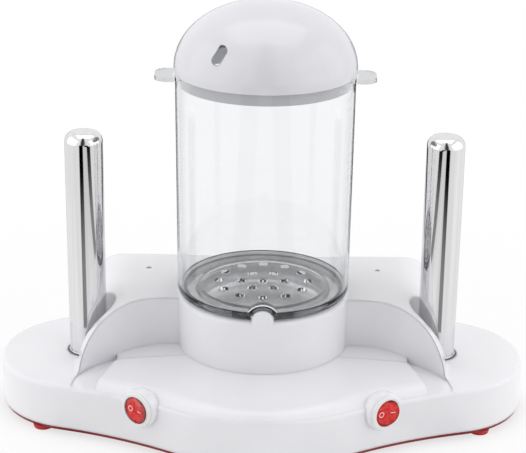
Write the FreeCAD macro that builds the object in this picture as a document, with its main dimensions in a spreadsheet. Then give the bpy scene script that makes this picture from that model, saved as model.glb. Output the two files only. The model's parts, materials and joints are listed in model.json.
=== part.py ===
import FreeCAD, Part
import math
import os

import Sketcher
from FreeCAD import Placement, Rotation, Vector

# Hot dog toaster: a moulded base with two heated bread spikes and a steam
# container for the sausages. X runs left to right, the nose points along -Y.
# Z = 0 is the table. Every piece is drawn about the container's axis and then
# moved back by axis_back, so that the origin is the middle of the footprint.

doc = FreeCAD.newDocument("hot_dog_toaster")

# ---------------------------------------------------------------- sizes, mm

DRIVING = {
    # shell and its heights above the table
    "wall": 2.5,
    "foot_drop": 3.5,
    "plate_thick": 2.5,
    "trough_top": 36.3,
    "wing_top": 37.0,
    "apron_top": 41.5,
    "plateau_top": 79.7,
    "form_overlap": 0.3,
    "trough_edge": 2.5,
    "wing_edge": 3.0,
    "apron_edge": 14.0,
    "plateau_edge": 4.0,
    # footprint: round wings, hollow flanks, round nose, straight rear
    "wing_x": 121.0,
    "wing_y": 12.0,
    "wing_radius": 60.5,
    "nose_reach": 121.0,
    "nose_radius": 110.0,
    "flank_radius": 300.0,
    "rear_reach": 66.0,
    "rear_corner_x": 104.0,
    "rear_corner_radius": 20.0,
    "rear_blend_radius": 25.0,
    # shoulder: the quarter round between the plateau and the wings
    "shoulder_front_y": 60.0,
    "shoulder_front_x": 80.0,
    "shoulder_front_radius": 44.0,
    "shoulder_front_top": 75.5,
    "shoulder_rear_y": 70.0,
    "shoulder_rear_x": 99.0,
    "shoulder_rear_radius": 38.0,
    "shoulder_rear_top": 80.0,
    "shoulder_blend": 3.0,
    # recess beside the collar, cut down to the trough floor
    "recess_back": 13.0,
    "recess_bend_x": 80.0,
    "recess_side_x": 127.5,
    "recess_side_y": 46.0,
    "recess_bend_radius": 45.0,
    "recess_side_radius": 45.0,
    # apron: the raised field in front, between the two troughs
    "deck_front_y": 66.0,
    "deck_back_top": 42.5,
    "apron_back": 25.0,
    "apron_corner_x": 100.0,
    "apron_corner_y": 36.0,
    "apron_exit_x": 111.0,
    "apron_exit_y": 75.0,
    "apron_corner_radius": 9.0,
    # collar round the heating dish, with the key that places the container
    "collar_radius": 59.5,
    "collar_top": 80.0,
    "collar_edge": 4.0,
    "collar_bore": 53.0,
    "ledge_bore": 49.5,
    "ledge_top": 74.5,
    "key_width": 15.0,
    "key_top": 88.0,
    "key_depth": 5.5,
    "mark_x": 82.0,
    "mark_y": 38.0,
    "mark_radius": 1.6,
    "mark_depth": 0.8,
    # water dish, its seal and what heats and holds it
    "seal_thick": 1.5,
    "dish_gap": 0.5,
    "dish_thick": 1.2,
    "dish_radius": 48.0,
    "dish_bottom": 62.0,
    "dish_round": 6.0,
    "spreader_radius": 38.0,
    "spreader_thick": 4.0,
    "stud_radius": 2.5,
    "stud_end": 41.0,
    "heater_ring": 28.0,
    "heater_tube": 3.25,
    "heater_fit": 0.05,
    "heater_gap_turn": 60.0,
    "heater_pin_end": 44.0,
    "thermostat_x": 13.5,
    "thermostat_radius": 8.0,
    "thermostat_tall": 8.0,
    "bridge_wide": 12.0,
    "bridge_thick": 1.6,
    "bridge_top": 48.0,
    "bridge_post_gap": 0.2,
    "bridge_post_radius": 3.5,
    "nut_across": 8.0,
    "nut_tall": 4.0,
    # clear container: seat, wall, pierced floor, spigot and thumb tabs
    "jar_base_radius": 59.4,
    "jar_top_radius": 60.5,
    "jar_top": 237.0,
    "jar_wall": 2.5,
    "jar_foot_round": 4.0,
    "jar_floor": 83.5,
    "jar_floor_thick": 2.5,
    "floor_gap": 0.3,
    "spigot_gap": 0.8,
    "spigot_wall": 2.0,
    "spigot_end": 72.0,
    "steam_hole_radius": 3.5,
    "steam_ring_near": 15.0,
    "steam_ring_far": 31.0,
    "key_gap": 0.8,
    "tab_reach": 74.0,
    "tab_wide": 25.0,
    "tab_thick": 3.0,
    "tab_drop": 2.5,
    "tab_round": 8.0,
    # domed lid
    "lid_overhang": 0.8,
    "lid_band": 3.0,
    "dome_rise": 44.0,
    "lid_wall": 2.5,
    "skirt_gap": 0.7,
    "skirt_wall": 2.0,
    "skirt_drop": 8.0,
    "slot_x": 29.5,
    "slot_height": 258.6,
    "slot_long": 13.6,
    "slot_wide": 5.8,
    "slot_lean": 33.0,
    # bread spikes
    "spike_x": 121.5,
    "spike_y": 10.0,
    "spike_radius": 12.9,
    "spike_wall": 0.8,
    "spike_step": 0.5,
    "spike_step_rise": 0.4,
    "spike_top": 196.0,
    "spike_tip": 7.0,
    "spike_flange": 16.0,
    "spike_flange_thick": 1.2,
    "niche_radius": 19.5,
    "bush_gap": 0.1,
    "bush_neck": 1.2,
    "bush_rise": 0.4,
    "bush_flange_thick": 1.5,
    "core_radius": 7.5,
    "core_top": 176.0,
    "core_foot_tall": 3.0,
    "core_spacer_tall": 2.0,
    "core_gap": 0.4,
    "core_bore": 3.0,
    "holder_thick": 2.0,
    "holder_radius": 17.0,
    "holder_lead_hole": 5.0,
    "ear_reach": 21.0,
    "ear_radius": 4.4,
    "ear_screw_long": 4.0,
    # screws and the posts they hold to
    "post_wing_x": 152.0,
    "post_wing_y": 14.0,
    "post_rear_x": 84.0,
    "post_rear_y": 48.0,
    "post_nose_x": 38.0,
    "post_nose_y": 92.0,
    "screw_radius": 1.45,
    "screw_hole_radius": 1.5,
    "screw_head_radius": 2.8,
    "screw_head_tall": 1.4,
    "post_radius": 3.8,
    "plate_screw_long": 12.0,
    "counterbore_gap": 0.3,
    # rocker switches on the flanks
    "switch_x": 81.6,
    "switch_z": 32.0,
    "switch_turn": 36.0,
    "boss_radius": 13.2,
    "boss_proud": 0.5,
    "boss_deep": 13.0,
    "boss_edge": 1.0,
    "boss_back_round": 8.5,
    "bezel_radius": 12.0,
    "bezel_thick": 2.0,
    "bezel_bore": 9.4,
    "switch_radius": 10.1,
    "switch_neck": 8.5,
    "switch_back_radius": 6.5,
    "switch_back_gap": 0.3,
    "switch_deep": 16.0,
    "switch_fit": 0.1,
    "rocker_well": 7.0,
    "rocker_radius": 9.2,
    "rocker_pivot": 0.3,
    "rocker_low": 5.0,
    "rocker_mid": 1.6,
    "rocker_slope": 6.0,
    "rocker_tilt": 9.0,
    "trunnion_radius": 1.3,
    "trunnion_gap": 0.05,
    "trunnion_end": 9.75,
    "blade_thick": 0.8,
    "blade_wide": 4.8,
    "blade_long": 8.0,
    "blade_step": 5.0,
    # bottom plate, feet, cord entry and terminal block
    "plate_inset": 1.2,
    "lip_gap": 0.3,
    "lip_wall": 1.8,
    "lip_tall": 3.0,
    "foot_front_x": 148.5,
    "foot_front_y": 57.5,
    "foot_rear_x": 140.0,
    "foot_rear_y": 28.0,
    "foot_nose_y": 104.0,
    "foot_radius": 6.5,
    "foot_flare": 0.8,
    "foot_stud_radius": 2.4,
    "foot_stud_gap": 0.05,
    "vent_long": 34.0,
    "vent_wide": 3.0,
    "vent_step": 8.0,
    "cord_x": 58.0,
    "cord_z": 22.0,
    "cord_hole": 7.0,
    "cord_hole_step": 0.8,
    "cord_hole_inset": 0.3,
    "grommet_neck": 6.0,
    "grommet_flange": 8.5,
    "grommet_lip": 2.0,
    "grommet_fit": 0.05,
    "block_x": 26.0,
    "block_y": 45.0,
    "block_long": 36.0,
    "block_wide": 18.0,
    "block_tall": 14.0,
    "block_well": 2.2,
    "block_lead": 1.8,
}


class Size:
    """A length together with the spreadsheet expression that gives it."""

    def __init__(self, value, text):
        self.value = value
        self.text = text

    def __add__(self, other):
        other = as_size(other)
        return Size(self.value + other.value, f"({self.text} + {other.text})")

    def __sub__(self, other):
        other = as_size(other)
        return Size(self.value - other.value, f"({self.text} - {other.text})")

    def __mul__(self, other):
        other = as_size(other)
        return Size(self.value * other.value, f"({self.text} * {other.text})")

    def __truediv__(self, other):
        other = as_size(other)
        return Size(self.value / other.value, f"({self.text} / {other.text})")

    def __neg__(self):
        return Size(-self.value, f"(0 - {self.text})")

    __radd__ = __add__
    __rmul__ = __mul__

    def __rsub__(self, other):
        return as_size(other) - self


def as_size(number):
    """A plain number as a Size."""
    return number if isinstance(number, Size) else Size(number, repr(float(number)))


def root(size):
    """The square root of a Size."""
    return Size(math.sqrt(size.value), f"sqrt({size.text})")


sheet = doc.addObject("Spreadsheet::Sheet", "Sizes")
S = {}
for row, (alias, number) in enumerate(DRIVING.items(), start=1):
    sheet.set(f"A{row}", alias)
    sheet.set(f"B{row}", str(number))
    sheet.setAlias(f"B{row}", alias)
doc.recompute()
for alias in DRIVING:
    S[alias] = Size(float(sheet.get(alias)), f"Sizes.{alias}")

# ------------------------------------------------------------ sketch helpers


def bind(thing, **sizes):
    """Binds properties of an object to sizes; a double underscore stands for a dot."""
    for name, size in sizes.items():
        thing.setExpression(name.replace("__", "."), as_size(size).text)


def new_body(name):
    body = doc.addObject("PartDesign::Body", name)
    body.Label = name
    return body


def new_sketch(body, name, plane="XY_Plane", offset=None):
    """An empty sketch on one of the body's origin planes, lifted by offset."""
    sketch = body.newObject("Sketcher::SketchObject", name)
    for feature in body.Origin.OriginFeatures:
        if feature.Role == plane:
            sketch.AttachmentSupport = [(feature, "")]
    sketch.MapMode = "FlatFace"
    if offset is not None:
        bind(sketch, AttachmentOffset__Base__z=offset)
    return sketch


def pin(sketch, geometry, point, x, y):
    """Holds a sketch point at x, y from the sketch's origin."""
    for kind, axis, size in (("DistanceX", -2, as_size(x)), ("DistanceY", -1, as_size(y))):
        if size.value == 0:
            sketch.addConstraint(Sketcher.Constraint("PointOnObject", geometry, point, axis))
            continue
        row = sketch.addConstraint(Sketcher.Constraint(kind, -1, 1, geometry, point, size.value))
        sketch.setExpression(f"Constraints[{row}]", size.text)


def set_radius(sketch, geometry, radius):
    radius = as_size(radius)
    row = sketch.addConstraint(Sketcher.Constraint("Radius", geometry, radius.value))
    sketch.setExpression(f"Constraints[{row}]", radius.text)


def circle(sketch, x, y, radius):
    centre = Vector(as_size(x).value, as_size(y).value, 0)
    up = Vector(0, 0, 1)
    index = sketch.addGeometry(Part.Circle(centre, up, as_size(radius).value), False)
    pin(sketch, index, 3, x, y)
    set_radius(sketch, index, radius)
    return index


def arc_between(centre, radius, start, end, bulge):
    """The arc of a circle from start to end; bulge is its turning sense, 1 or -1."""
    low = math.atan2(start.y - centre.y, start.x - centre.x)
    high = math.atan2(end.y - centre.y, end.x - centre.x)
    if bulge < 0:
        low, high = high, low
    if high <= low:
        high += 2 * math.pi
    return Part.ArcOfCircle(Part.Circle(centre, Vector(0, 0, 1), radius), low, high)


def polygon(sketch, corners):
    """A closed outline of straight sides; a corner is x, y or x, y, rounding radius."""
    points = [Vector(as_size(c[0]).value, as_size(c[1]).value, 0) for c in corners]
    count = len(points)
    starts, ends, arcs = {}, {}, {}
    for i, corner in enumerate(corners):
        here = points[i]
        back = (points[i - 1] - here).normalize()
        ahead = (points[(i + 1) % count] - here).normalize()
        starts[i] = ends[i] = here
        if len(corner) == 3:
            radius = as_size(corner[2]).value
            half = back.getAngle(ahead) / 2
            reach = radius / math.tan(half)
            ends[i] = here + back * reach
            starts[i] = here + ahead * reach
            centre = here + (back + ahead).normalize() * (radius / math.sin(half))
            turn = 1 if back.cross(ahead).z < 0 else -1
            arcs[i] = (arc_between(centre, radius, ends[i], starts[i], turn), turn)
    lines = []
    for i in range(count):
        segment = Part.LineSegment(starts[i], ends[(i + 1) % count])
        lines.append(sketch.addGeometry(segment, False))
    for i, corner in enumerate(corners):
        before, after = lines[i - 1], lines[i]
        if i not in arcs:
            sketch.addConstraint(Sketcher.Constraint("Coincident", before, 2, after, 1))
            pin(sketch, after, 1, corner[0], corner[1])
            continue
        shape, turn = arcs[i]
        arc = sketch.addGeometry(shape, False)
        first, last = (1, 2) if turn > 0 else (2, 1)
        sketch.addConstraint(Sketcher.Constraint("Tangent", before, 2, arc, first))
        sketch.addConstraint(Sketcher.Constraint("Tangent", arc, last, after, 1))
        set_radius(sketch, arc, corner[2])
        point = sketch.addGeometry(Part.Point(points[i]), True)
        pin(sketch, point, 1, corner[0], corner[1])
        sketch.addConstraint(Sketcher.Constraint("PointOnObject", point, 1, before))
        sketch.addConstraint(Sketcher.Constraint("PointOnObject", point, 1, after))


def pad(body, sketch, height, name, both=False):
    feature = body.newObject("PartDesign::Pad", name)
    feature.Profile = sketch
    bind(feature, Length=height)
    feature.Midplane = both
    return feature


def cut(body, sketch, depth, name, upward=False, both=False):
    """A pocket whose depth runs along the sketch's normal when upward is set."""
    feature = body.newObject("PartDesign::Pocket", name)
    feature.Profile = sketch
    bind(feature, Length=depth)
    feature.Reversed = upward
    feature.Midplane = both
    return feature


def revolve(body, sketch, name):
    """Turns a sketch on the XZ plane about the body's Z axis."""
    feature = body.newObject("PartDesign::Revolution", name)
    feature.Profile = sketch
    feature.ReferenceAxis = (sketch, ["V_Axis"])
    feature.Angle = 360
    return feature


# ------------------------------------------------------------ upper housing

FAR = as_size(200)
base_top = S["foot_drop"] + S["plate_thick"]
nose_y = S["nose_radius"] - S["nose_reach"]
rear_corner_y = S["rear_reach"] - S["rear_corner_radius"]

# the bridge's posts stand inside the collar, and the lid covers the container's top
bridge_post_y = S["collar_radius"] - S["wall"] - S["bridge_post_radius"] - S["bridge_post_gap"]
lid_radius = S["jar_top_radius"] + S["lid_overhang"]


def touch_point(centre_a, radius_a, centre_b, radius_b, blend, side):
    """Where a hollow arc that blends two circles touches each of them, and its centre."""
    gap = centre_b - centre_a
    reach_a = radius_a + blend
    reach_b = radius_b + blend
    along = (gap.Length**2 + reach_a**2 - reach_b**2) / (2 * gap.Length)
    across = math.sqrt(reach_a**2 - along**2) * side
    unit = Vector(gap).normalize()
    centre = centre_a + unit * along + Vector(-unit.y, unit.x, 0) * across
    on_a = centre_a + (centre - centre_a) * (radius_a / reach_a)
    on_b = centre_b + (centre - centre_b) * (radius_b / reach_b)
    return on_a, on_b, centre


def footprint(sketch, inset):
    """The closed outline of the housing's walls, drawn inside them by inset."""
    inset = as_size(inset)
    wing_r = S["wing_radius"] - inset
    nose_r = S["nose_radius"] - inset
    corner_r = S["rear_corner_radius"] - inset
    flank_r = S["flank_radius"] + inset
    blend_r = S["rear_blend_radius"] + inset
    nose = Vector(0, nose_y.value, 0)
    wing = Vector(S["wing_x"].value, -S["wing_y"].value, 0)
    corner = Vector(S["rear_corner_x"].value, rear_corner_y.value, 0)
    flank = touch_point(nose, nose_r.value, wing, wing_r.value, flank_r.value, -1)
    blend = touch_point(wing, wing_r.value, corner, corner_r.value, blend_r.value, -1)
    rear = corner + Vector(0, corner_r.value, 0)

    def flip(point):
        return Vector(-point.x, point.y, 0)

    def add(centre, radius, start, end, turn):
        arc = arc_between(centre, radius.value, start, end, turn)
        index = sketch.addGeometry(arc, False)
        set_radius(sketch, index, radius)
        return (index, 1, 2) if turn > 0 else (index, 2, 1)

    chain = [
        add(nose, nose_r, flip(flank[0]), flank[0], 1),
        add(flank[2], flank_r, flank[0], flank[1], -1),
        add(wing, wing_r, flank[1], blend[0], 1),
        add(blend[2], blend_r, blend[0], blend[1], -1),
        add(corner, corner_r, blend[1], rear, 1),
        (sketch.addGeometry(Part.LineSegment(rear, flip(rear)), False), 1, 2),
        add(flip(corner), corner_r, flip(rear), flip(blend[1]), 1),
        add(flip(blend[2]), blend_r, flip(blend[1]), flip(blend[0]), -1),
        add(flip(wing), wing_r, flip(blend[0]), flip(flank[1]), 1),
        add(flip(flank[2]), flank_r, flip(flank[1]), flip(flank[0]), -1),
    ]
    for before, after in zip(chain, chain[1:] + chain[:1]):
        sketch.addConstraint(Sketcher.Constraint("Tangent", before[0], before[2], after[0], after[1]))
    pin(sketch, chain[0][0], 3, 0, nose_y)
    pin(sketch, chain[2][0], 3, S["wing_x"], -S["wing_y"])
    pin(sketch, chain[4][0], 3, S["rear_corner_x"], rear_corner_y)
    pin(sketch, chain[6][0], 3, -S["rear_corner_x"], rear_corner_y)
    pin(sketch, chain[8][0], 3, -S["wing_x"], -S["wing_y"])


def terrace(name, top, edge, inset):
    """The footprint raised to one level, with its upper edge rounded when edge is set."""
    body = new_body(name)
    sketch = new_sketch(body, name + "_outline", offset=base_top - inset)
    footprint(sketch, inset)
    block = pad(body, sketch, as_size(top) - base_top + inset, name + "_block")
    doc.recompute()
    if edge is not None:
        level = block.Shape.BoundBox.ZMax
        rim = [
            f"Edge{i}"
            for i, e in enumerate(block.Shape.Edges, start=1)
            if abs(e.BoundBox.ZMin - level) < 1e-6
        ]
        fillet = body.newObject("PartDesign::Fillet", name + "_edge")
        fillet.Base = (block, rim)
        bind(fillet, Radius=edge)
    return body


def recess_loop(sketch, side, grow):
    """The recess and everything in front of it, on one side, grown by grow."""
    back = S["recess_back"] - grow
    outer = S["recess_side_x"] + grow
    polygon(
        sketch,
        [
            (0, -back),
            (side * S["recess_bend_x"], -back, S["recess_bend_radius"]),
            (side * outer, -(S["recess_side_y"] - grow), S["recess_side_radius"]),
            (side * outer, -FAR),
            (0, -FAR),
        ],
    )


def apron_loop(sketch, shrink):
    """The apron's sides and back; its front is left to the footprint."""
    corners = []
    for side, order in ((1, 1), (-1, -1)):
        half = [
            (side * (S["apron_exit_x"] - shrink), -FAR),
            (side * (S["apron_exit_x"] - shrink), -S["apron_exit_y"]),
            (
                side * (S["apron_corner_x"] - shrink),
                -(S["apron_corner_y"] + shrink),
                S["apron_corner_radius"],
            ),
            (side * S["collar_radius"] / 2, -(S["apron_back"] + shrink)),
        ]
        corners += half[::order]
    polygon(sketch, corners)


def shoulder_loop(sketch, shrink, flat, round_radius, crest_top):
    """A front view of the shoulder: a plateau between two quarter rounds."""
    top = crest_top - shrink
    radius = round_radius - shrink
    wing = S["wing_top"] - shrink
    blend = S["shoulder_blend"] + shrink
    centre_z = crest_top - round_radius
    # the blend's centre stands blend above the wing and touches the quarter round
    rise = wing + blend - centre_z
    reach = radius + blend
    across = root(reach * reach - rise * rise)
    touch_x = flat + across * (radius / reach)
    touch_z = centre_z + rise * (radius / reach)
    foot_x = flat + across
    points = {}
    for side in (1, -1):
        middle = Vector(side * flat.value, centre_z.value, 0)
        corner = Vector(side * foot_x.value, (wing + blend).value, 0)
        points[side] = [
            middle,
            corner,
            Vector(side * flat.value, top.value, 0),
            Vector(side * touch_x.value, touch_z.value, 0),
            Vector(side * foot_x.value, wing.value, 0),
            Vector(side * foot_x.value, base_top.value, 0),
        ]
    chain = []
    for side in (1, -1):
        middle, corner, crest, touch, foot, ground = points[side]
        round_arc = sketch.addGeometry(arc_between(middle, radius.value, crest, touch, -side), False)
        blend_arc = sketch.addGeometry(arc_between(corner, blend.value, touch, foot, side), False)
        drop = sketch.addGeometry(Part.LineSegment(foot, ground), False)
        ends = (1, 2) if side > 0 else (2, 1)
        set_radius(sketch, round_arc, radius)
        set_radius(sketch, blend_arc, blend)
        pin(sketch, round_arc, 3, side * flat, centre_z)
        sketch.addConstraint(
            Sketcher.Constraint("Tangent", round_arc, ends[0], blend_arc, ends[0])
        )
        sketch.addConstraint(Sketcher.Constraint("Coincident", blend_arc, ends[1], drop, 1))
        pin(sketch, drop, 1, side * foot_x, wing)
        sketch.addConstraint(Sketcher.Constraint("Vertical", drop))
        chain.append((round_arc, ends[1], drop))
    crest = sketch.addGeometry(Part.LineSegment(points[1][2], points[-1][2]), False)
    ground = sketch.addGeometry(Part.LineSegment(points[1][5], points[-1][5]), False)
    sketch.addConstraint(Sketcher.Constraint("Tangent", chain[0][0], chain[0][1], crest, 1))
    sketch.addConstraint(Sketcher.Constraint("Tangent", chain[1][0], chain[1][1], crest, 2))
    sketch.addConstraint(Sketcher.Constraint("Coincident", chain[0][2], 2, ground, 1))
    sketch.addConstraint(Sketcher.Constraint("Coincident", chain[1][2], 2, ground, 2))
    sketch.addConstraint(Sketcher.Constraint("Horizontal", ground))
    row = sketch.addConstraint(Sketcher.Constraint("DistanceY", -1, 1, ground, 1, base_top.value))
    sketch.setExpression(f"Constraints[{row}]", base_top.text)


def boolean(kind, name, base, tool):
    """A Part::Cut or Part::Common of two objects."""
    result = doc.addObject(f"Part::{kind}", name)
    result.Base = base
    result.Tool = tool
    return result


def fuse(name, *things):
    result = doc.addObject("Part::MultiFuse", name)
    result.Shapes = list(things)
    result.Refine = True
    return result


def cylinder(name, radius, low, high, x=0, y=0):
    """An upright round bar between two levels."""
    bar = doc.addObject("Part::Cylinder", name)
    bind(bar, Radius=radius, Height=as_size(high) - low)
    bind(bar, Placement__Base__x=x, Placement__Base__y=y, Placement__Base__z=low)
    return bar


def fender(name, shrink):
    """The shoulder, drawn from a low front view to a higher and broader rear one."""
    body = new_body(name)
    views = []
    for word, offset in (("front", S["shoulder_front_y"]), ("rear", -S["shoulder_rear_y"])):
        sketch = new_sketch(body, f"{name}_{word}", "XZ_Plane", offset=offset)
        flat, radius, top = (S[f"shoulder_{word}_{size}"] for size in ("x", "radius", "top"))
        shoulder_loop(sketch, shrink, flat, radius, top)
        views.append(sketch)
    loft = body.newObject("PartDesign::AdditiveLoft", name + "_loft")
    loft.Profile = views[0]
    loft.Sections = [views[1]]
    loft.Ruled = True
    return body


def shoulder_height(y):
    """How high the shoulder's crest stands at a place behind the container's axis."""
    rise = S["shoulder_rear_top"] - S["shoulder_front_top"]
    long = S["shoulder_rear_y"] + S["shoulder_front_y"]
    return S["shoulder_front_top"] + rise * ((y + S["shoulder_front_y"]) / long)


def deck(word, inset, limit):
    """The recess's floor: it falls from the recess's back wall to the front."""
    slope = (S["deck_back_top"] - S["trough_top"]) / (S["deck_front_y"] - S["recess_back"])
    wedge = new_body(word + "_wedge")
    sketch = new_sketch(wedge, word + "_wedge_side", "YZ_Plane")
    low = S["trough_top"] - inset
    polygon(
        sketch,
        [
            (-S["deck_front_y"], base_top + inset),
            (0, base_top + inset),
            (0, low + slope * S["deck_front_y"]),
            (-S["deck_front_y"], low),
        ],
    )
    pad(wedge, sketch, FAR, word + "_wedge_block", both=True)
    mask = new_body(word + "_deck_mask")
    for side, hand in ((1, "right"), (-1, "left")):
        area = new_sketch(mask, f"{word}_deck_{hand}")
        recess_loop(area, side, as_size(0))
        pad(mask, area, S["plateau_top"], f"{word}_deck_{hand}_block")
    inside = boolean("Common", word + "_deck_area", wedge, mask)
    return boolean("Common", word + "_deck", inside, limit)


def recess_block(name, grow):
    """Both recesses as one tool, from the trough floor up."""
    body = new_body(name)
    low = S["trough_top"] - grow
    for side, word in ((1, "right"), (-1, "left")):
        sketch = new_sketch(body, f"{name}_{word}", offset=low)
        recess_loop(sketch, side, grow)
        pad(body, sketch, FAR, f"{name}_{word}_block")
    return body


def apron_block(name, shrink, top):
    """Everything inside the apron's outline, up to a level."""
    body = new_body(name)
    sketch = new_sketch(body, name + "_outline")
    apron_loop(sketch, shrink)
    pad(body, sketch, top, name + "_block")
    return body


def housing_form(word, inset, edges):
    """The housing's terraces as one solid, drawn inside its walls by inset."""
    wing_edge, apron_edge, plateau_edge, trough_edge = edges
    floor = terrace(word + "_floor", S["trough_top"] - inset, trough_edge, inset)
    wing = terrace(word + "_wing", S["wing_top"] - inset, wing_edge, inset)
    plateau = terrace(word + "_plateau", S["plateau_top"] - inset, plateau_edge, inset)
    apron = terrace(word + "_apron", S["apron_top"] - inset, apron_edge, inset)
    shoulder = boolean("Common", word + "_shoulder", plateau, fender(word + "_fender", inset))
    high = fuse(word + "_high", wing, shoulder)
    raised = boolean("Cut", word + "_raised", high, recess_block(word + "_recess", inset))
    above = S["apron_top"] + S["wall"]
    field_block = apron_block(word + "_field_block", inset, above)
    field = boolean("Common", word + "_field", apron, field_block)
    # the nose is rounded by the apron alone, so the floor stops at its outline
    mask = apron_block(word + "_floor_mask", S["form_overlap"], above)
    sides = boolean("Cut", word + "_sides", floor, mask)
    parts = [sides, raised, field, deck(word, inset, plateau)]
    if inset.value:
        under = apron_block(word + "_under_block", as_size(0), S["trough_top"] - inset)
        parts.append(boolean("Common", word + "_under", apron, under))
    return fuse(word + "_form", *parts)


# ------------------------------------------------------------ shared places

wing_under = S["wing_top"] - S["wall"]
ledge_under = S["ledge_top"] - S["wall"]
axis_back = (S["nose_reach"] - S["rear_reach"] - S["grommet_lip"]) / 2
key_half = S["key_width"] / 2
key_back = S["collar_radius"] - S["key_depth"]
spike_foot = S["spike_radius"] + S["spike_step"]
bush_radius = spike_foot + S["bush_gap"] + S["bush_neck"]
holder_top = wing_under - S["bush_flange_thick"] - S["spike_flange_thick"]
SIDES = ((1, "right"), (-1, "left"))
POSTS = (
    (S["post_wing_x"], -S["post_wing_y"], S["wing_top"]),
    (S["post_rear_x"], S["post_rear_y"], S["plateau_top"]),
    (S["post_nose_x"], -S["post_nose_y"], S["apron_top"]),
)
SCREW_SPARE = as_size(0.1)
NODES = {}


def node(name, thing, x=0, y=0):
    """Names a finished piece and moves it from the container's axis to its place."""
    thing.Label = name
    bind(thing, Placement__Base__x=x, Placement__Base__y=axis_back + y)
    NODES[name] = thing
    return thing


def group(name, shapes):
    """One node that holds separate equal solids."""
    thing = doc.addObject("Part::Feature", name)
    thing.Shape = Part.makeCompound(shapes)
    return node(name, thing)


def mirrored_pair(x, y):
    return ((x, y), (-x, y))


def turned_body(name, corners):
    """A body of revolution from its half section, given as radius and height."""
    body = new_body(name)
    sketch = new_sketch(body, name + "_section", "XZ_Plane")
    polygon(sketch, corners)
    revolve(body, sketch, name + "_turned")
    return body


def bar_at(name, radius, low, high, place):
    """A round bar along the z axis of a place, between two distances on it."""
    bar = doc.addObject("Part::Cylinder", name)
    bind(bar, Radius=radius, Height=as_size(high) - low)
    bar.Placement = place.multiply(Placement(Vector(0, 0, as_size(low).value), Rotation()))
    return bar


def arch_block(name, half, top, low, back, front):
    """A round-headed block facing the nose, between two distances from the axis."""
    body = new_body(name)
    sketch = new_sketch(body, name + "_outline", "XZ_Plane", offset=back)
    spring = top - half
    centre = Vector(0, spring.value, 0)
    left = Vector(-half.value, spring.value, 0)
    right = Vector(half.value, spring.value, 0)
    head = sketch.addGeometry(arc_between(centre, half.value, right, left, 1), False)
    foot_left = Vector(left.x, as_size(low).value, 0)
    foot_right = Vector(right.x, as_size(low).value, 0)
    side_left = sketch.addGeometry(Part.LineSegment(left, foot_left), False)
    base = sketch.addGeometry(Part.LineSegment(foot_left, foot_right), False)
    side_right = sketch.addGeometry(Part.LineSegment(foot_right, right), False)
    sketch.addConstraint(Sketcher.Constraint("Tangent", head, 2, side_left, 1))
    sketch.addConstraint(Sketcher.Constraint("Coincident", side_left, 2, base, 1))
    sketch.addConstraint(Sketcher.Constraint("Coincident", base, 2, side_right, 1))
    sketch.addConstraint(Sketcher.Constraint("Tangent", side_right, 2, head, 1))
    sketch.addConstraint(Sketcher.Constraint("Horizontal", base))
    pin(sketch, head, 3, 0, spring)
    pin(sketch, side_left, 2, -half, low)
    set_radius(sketch, head, half)
    sketch.addConstraint(Sketcher.Constraint("Vertical", side_right))
    pad(body, sketch, as_size(front) - back, name + "_block")
    return body


# ------------------------------------------------------------ switch places


def switch_place(side):
    """The middle of a switch boss's face: x to its right, y up, z out of the face."""
    turn = math.radians(S["switch_turn"].value)
    nose = Vector(0, nose_y.value, 0)
    wing = Vector(S["wing_x"].value, -S["wing_y"].value, 0)
    flank = S["flank_radius"].value
    centre = touch_point(nose, S["nose_radius"].value, wing, S["wing_radius"].value, flank, -1)[2]
    # the boss's outer edge stands just proud of the flank
    edge_x = S["switch_x"].value + S["boss_radius"].value * math.cos(turn)
    edge_y = centre.y + math.sqrt(flank**2 - (edge_x - centre.x) ** 2)
    face_y = edge_y - S["boss_radius"].value * math.sin(turn) - S["boss_proud"].value
    out = Vector(side * math.sin(turn), -math.cos(turn), 0)
    up = Vector(0, 0, 1)
    across = up.cross(out)
    place = Placement(Vector(side * S["switch_x"].value, face_y, S["switch_z"].value), Rotation())
    place.Rotation = Rotation(across, up, out, "ZXY")
    return place


def collar_form():
    """The collar as a round post with a rounded rim, and the key on its front."""
    post = turned_body(
        "collar_post",
        [
            (0, base_top),
            (S["collar_radius"], base_top),
            (S["collar_radius"], S["collar_top"], S["collar_edge"]),
            (0, S["collar_top"]),
        ],
    )
    low = S["collar_top"] - 2 * S["collar_edge"]
    key = arch_block("key", key_half, S["key_top"], low, key_back, S["collar_radius"] + S["wall"])
    sleeve = cylinder("key_sleeve", S["collar_radius"], low, S["key_top"])
    return fuse("collar_and_key", post, boolean("Common", "key_form", key, sleeve))


def switch_boss(name, place, inset, edge):
    """A round boss with a rounded back that sinks into the apron."""
    radius = S["boss_radius"] - inset
    back = inset - S["boss_deep"]
    boss = turned_body(
        name,
        [
            (0, back),
            (radius, back, S["boss_back_round"] - inset),
            (radius, -inset, edge),
            (0, -inset),
        ],
    )
    boss.Placement = place
    return boss


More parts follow.
